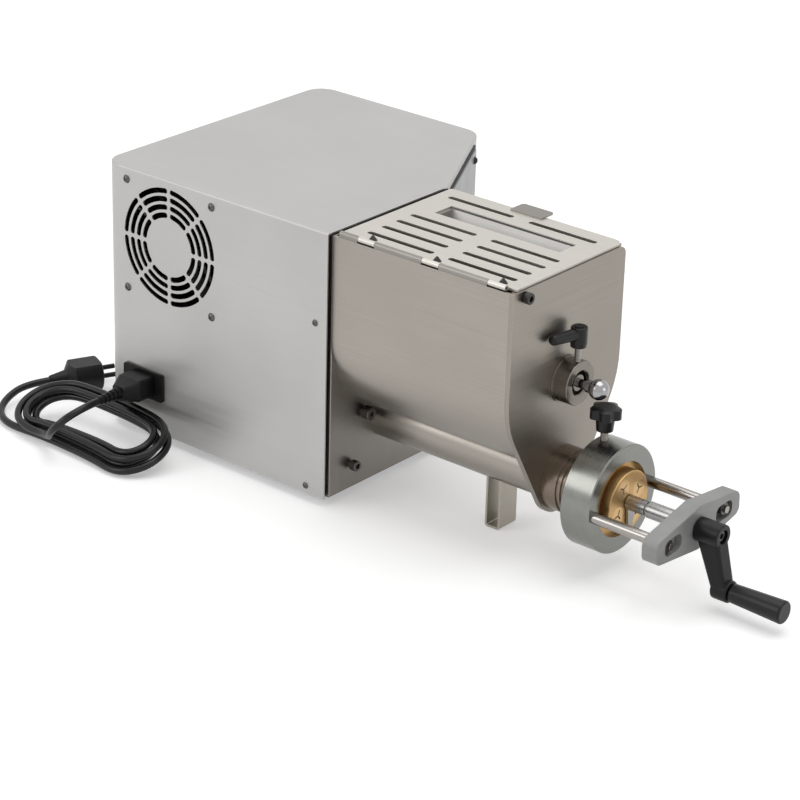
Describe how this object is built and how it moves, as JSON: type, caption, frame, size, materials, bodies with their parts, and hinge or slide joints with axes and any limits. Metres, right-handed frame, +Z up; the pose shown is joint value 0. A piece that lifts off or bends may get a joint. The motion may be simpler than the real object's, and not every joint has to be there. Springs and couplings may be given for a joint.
{
  "type": "electric pasta maker",
  "caption": "Table-top electric pasta extruder: sheet-metal motor housing, open-topped hopper with slotted lid, auger barrel, bronze die and a hand-turned rotary cutter.",
  "frame": {"origin": "bottom centre of the machine without its mains cord, on the table", "axes": "+X from the housing towards the die and the crank, +Y away from the fan side, +Z up"},
  "size_m": [0.7977, 0.4044, 0.2656],
  "materials": {
    "housing_cover": "brushed stainless sheet",
    "base_tray": "zinc plated sheet",
    "rubber_feet": "moulded rubber",
    "mounting_plate": "satin stainless plate",
    "panel_gasket": "flat rubber gasket",
    "control_panel": "satin painted panel",
    "start_button": "moulded cap",
    "stop_button": "moulded cap",
    "button_bezels": "moulded rings",
    "selector_knob": "moulded knob",
    "switch_blocks": "moulded blocks",
    "fan_frame": "moulded frame",
    "fan_rotor": "moulded rotor",
    "motor": "painted casting",
    "gearbox": "cast housing",
    "motor_cradle": "painted bracket",
    "power_inlet": "moulded inlet",
    "hopper_trough": "satin stainless sheet",
    "auger_barrel": "satin stainless tube",
    "end_plate": "brushed stainless plate",
    "barrel_neck": "turned stainless",
    "foot_strap": "bent stainless strap",
    "auger": "turned stainless",
    "mixer": "turned stainless",
    "shaft_boss": "turned stainless",
    "clamp_stud": "threaded stud",
    "clamp_lever": "moulded lever",
    "lock_pin": "ground pin",
    "pin_ball": "polished ball",
    "clamp_ring": "turned plated steel",
    "star_stud": "threaded stud",
    "star_knob": "moulded knob",
    "die_body": "turned bronze",
    "die_inserts": "turned bronze",
    "guide_rods": "ground rod",
    "yoke": "painted casting",
    "rod_nuts": "zinc plated nuts",
    "yoke_bush": "turned bush",
    "cutter_shaft": "turned steel",
    "cutter_blade": "hardened steel",
    "crank_arm": "moulded crank",
    "crank_screw": "cap screw",
    "crank_grip": "moulded grip",
    "lid_plate": "satin stainless sheet",
    "hinge_rail": "stainless hinge",
    "hinge_pin": "stainless rod",
    "lid_rivets": "cone-headed rivets",
    "feed_chute": "bent stainless sheet",
    "lid_tab": "bent stainless sheet",
    "lid_sensor": "moulded block",
    "fan_screws": "round-headed screws",
    "cover_screws": "round-headed screws",
    "plate_screws": "cap screws",
    "end_plate_screw": "cap screw",
    "panel_screws": "round-headed screws",
    "cord_connector": "moulded connector",
    "cord_lead": "round flex",
    "cord_coil": "round flex",
    "cord_tail": "round flex",
    "mains_plug": "moulded plug with two pins"
  },
  "bodies": {
    "frame": {"housing_cover": "housing_cover", "base_tray": "base_tray", "rubber_feet": "rubber_feet", "mounting_plate": "mounting_plate", "panel_gasket": "panel_gasket", "control_panel": "control_panel", "button_bezels": "button_bezels", "switch_blocks": "switch_blocks", "fan_frame": "fan_frame", "motor": "motor", "gearbox": "gearbox", "motor_cradle": "motor_cradle", "power_inlet": "power_inlet", "hopper_trough": "hopper_trough", "auger_barrel": "auger_barrel", "end_plate": "end_plate", "barrel_neck": "barrel_neck", "foot_strap": "foot_strap", "shaft_boss": "shaft_boss", "hinge_rail": "hinge_rail", "hinge_pin": "hinge_pin", "lid_sensor": "lid_sensor", "fan_screws": "fan_screws", "cover_screws": "cover_screws", "plate_screws": "plate_screws", "end_plate_screw": "end_plate_screw", "panel_screws": "panel_screws", "cord_connector": "cord_connector", "cord_lead": "cord_lead", "cord_coil": "cord_coil", "cord_tail": "cord_tail", "mains_plug": "mains_plug"},
    "lid": {"lid_plate": "lid_plate", "feed_chute": "feed_chute", "lid_rivets": "lid_rivets", "lid_tab": "lid_tab"},
    "mixer_body": {"mixer": "mixer"},
    "auger_body": {"auger": "auger"},
    "fan_body": {"fan_rotor": "fan_rotor"},
    "lever_body": {"clamp_lever": "clamp_lever", "clamp_stud": "clamp_stud"},
    "pin_body": {"lock_pin": "lock_pin", "pin_ball": "pin_ball"},
    "head": {"clamp_ring": "clamp_ring", "die_body": "die_body", "die_inserts": "die_inserts", "guide_rods": "guide_rods", "yoke": "yoke", "rod_nuts": "rod_nuts", "yoke_bush": "yoke_bush"},
    "star_body": {"star_knob": "star_knob", "star_stud": "star_stud"},
    "crank": {"cutter_shaft": "cutter_shaft", "cutter_blade": "cutter_blade", "crank_arm": "crank_arm", "crank_screw": "crank_screw"},
    "grip": {"crank_grip": "crank_grip"},
    "start_body": {"start_button": "start_button"},
    "stop_body": {"stop_button": "stop_button"},
    "selector_body": {"selector_knob": "selector_knob"}
  },
  "joints": [
    {"name": "lid_hinge", "type": "hinge", "parent": "frame", "child": "lid", "pos_m": [0.02255, -0.14045, 0.2615], "axis": [1, 0, 0], "range_deg": [0, 110]},
    {"name": "mixer_spin", "type": "hinge", "parent": "frame", "child": "mixer_body", "pos_m": [-0.07745, -0.06515, 0.1596], "axis": [1, 0, 0], "continuous": true},
    {"name": "auger_spin", "type": "hinge", "parent": "frame", "child": "auger_body", "pos_m": [-0.07745, -0.06515, 0.0673], "axis": [1, 0, 0], "continuous": true},
    {"name": "fan_spin", "type": "hinge", "parent": "frame", "child": "fan_body", "pos_m": [-0.26805, -0.14825, 0.197], "axis": [0, 1, 0], "continuous": true},
    {"name": "lever_turn", "type": "hinge", "parent": "frame", "child": "lever_body", "pos_m": [0.12915, -0.06515, 0.1896], "axis": [0, 0, 1], "range_deg": [0, 150]},
    {"name": "pin_pull", "type": "slide", "parent": "frame", "child": "pin_body", "axis": [1, 0, 0], "range_m": [0, 0.014]},
    {"name": "head_off", "type": "slide", "parent": "frame", "child": "head", "axis": [1, 0, 0], "range_m": [0, 0.06]},
    {"name": "star_turn", "type": "hinge", "parent": "head", "child": "star_body", "pos_m": [0.16105, -0.06515, 0.1273], "axis": [0, 0, 1], "continuous": true},
    {"name": "crank_turn", "type": "hinge", "parent": "head", "child": "crank", "pos_m": [0.24705, -0.06515, 0.0673], "axis": [1, 0, 0], "continuous": true},
    {"name": "grip_spin", "type": "hinge", "parent": "crank", "child": "grip", "pos_m": [0.29895, -0.06515, 0.02], "axis": [1, 0, 0], "continuous": true},
    {"name": "start_press", "type": "slide", "parent": "frame", "child": "start_body", "axis": [-0.8808, -0.4735, 0], "range_m": [0, 0.003], "stiffness_N_per_m": 400},
    {"name": "stop_press", "type": "slide", "parent": "frame", "child": "stop_body", "axis": [-0.8808, -0.4735, 0], "range_m": [0, 0.003], "stiffness_N_per_m": 400},
    {"name": "selector_turn", "type": "hinge", "parent": "frame", "child": "selector_body", "pos_m": [-0.11565, 0.08285, 0.1357], "axis": [0.8808, 0.4735, 0], "range_deg": [-45, 45]}
  ],
  "couplings": [
    {"joint": "auger_spin", "follows": "mixer_spin", "ratio": -1}
  ]
}
